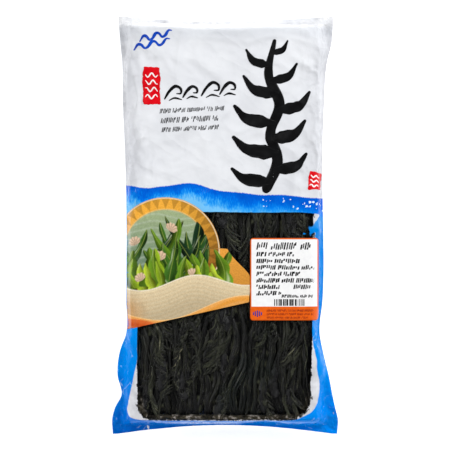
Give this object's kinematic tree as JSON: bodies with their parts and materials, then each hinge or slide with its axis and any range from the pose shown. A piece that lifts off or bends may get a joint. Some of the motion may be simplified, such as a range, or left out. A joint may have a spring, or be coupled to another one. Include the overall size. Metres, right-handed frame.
{
  "type": "sealed pack of dried wakame",
  "caption": "Flat pillow pack of printed film with a clear window, sealed at both ends, holding folded dried wakame fronds, with a paper sticker on its front.",
  "frame": {"origin": "centre of the pack's bounding box in plan, on the surface it lies on", "axes": "+X to the right across the pack's front, +Y up its front towards the top seal, +Z out of the front, away from the surface it lies on"},
  "size_m": [0.2308, 0.4271, 0.0455],
  "materials": {
    "printed_film": "glossy printed film with a clear window",
    "dried_wakame": "satin, leathery",
    "label_paper": "smooth coated paper"
  },
  "bodies": {
    "root": {"film_bag": "printed_film", "frond_1": "dried_wakame", "frond_2": "dried_wakame", "frond_3": "dried_wakame", "frond_4": "dried_wakame", "frond_5": "dried_wakame", "sticker": "label_paper"}
  },
  "joints": []
}
